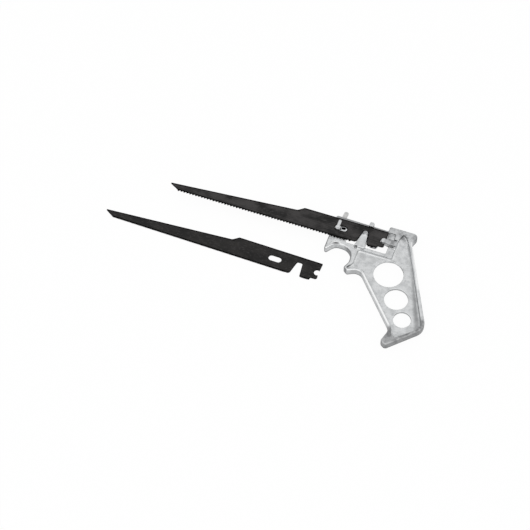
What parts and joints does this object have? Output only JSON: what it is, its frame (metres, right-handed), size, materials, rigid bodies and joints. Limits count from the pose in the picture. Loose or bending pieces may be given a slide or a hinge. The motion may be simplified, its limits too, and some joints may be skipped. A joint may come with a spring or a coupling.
{
  "type": "keyhole saw",
  "caption": "Keyhole saw with an open cast pistol-grip handle, a tapered coarse blade held by lugs and a turn latch, and a spare fine-tooth blade beside it.",
  "frame": {"origin": "On the flat back of the handle, behind the upper finger horn.", "axes": "+X from the blade's tip towards the grip, +Y from the teeth towards the blade's back, +Z from the handle's flat back towards the latch finger."},
  "size_m": [0.3823, 0.1536, 0.0145],
  "materials": {
    "cast_metal": "bright tumbled casting with polished rims",
    "black_blade": "matte black oxide",
    "spare_black_blade": "matte black oxide",
    "latch_metal": "bright cast",
    "lever_metal": "zinc-plated sheet",
    "spring_steel": "plain spring steel"
  },
  "bodies": {
    "handle": {"handle_casting": "cast_metal", "coarse_blade": "black_blade"},
    "latch": {"latch_key": "latch_metal", "latch_lever": "lever_metal", "latch_spring": "spring_steel"},
    "spare_blade": {"fine_blade": "spare_black_blade"}
  },
  "joints": [
    {"name": "latch_turn", "type": "hinge", "parent": "handle", "child": "latch", "pos_m": [-0.0036, 0.0135, 0], "axis": [0, 0, -1], "range_deg": [0, 90]},
    {"name": "spare_lift", "type": "slide", "parent": "handle", "child": "spare_blade", "axis": [0, 0, 1], "range_m": [0, 0.06]}
  ]
}
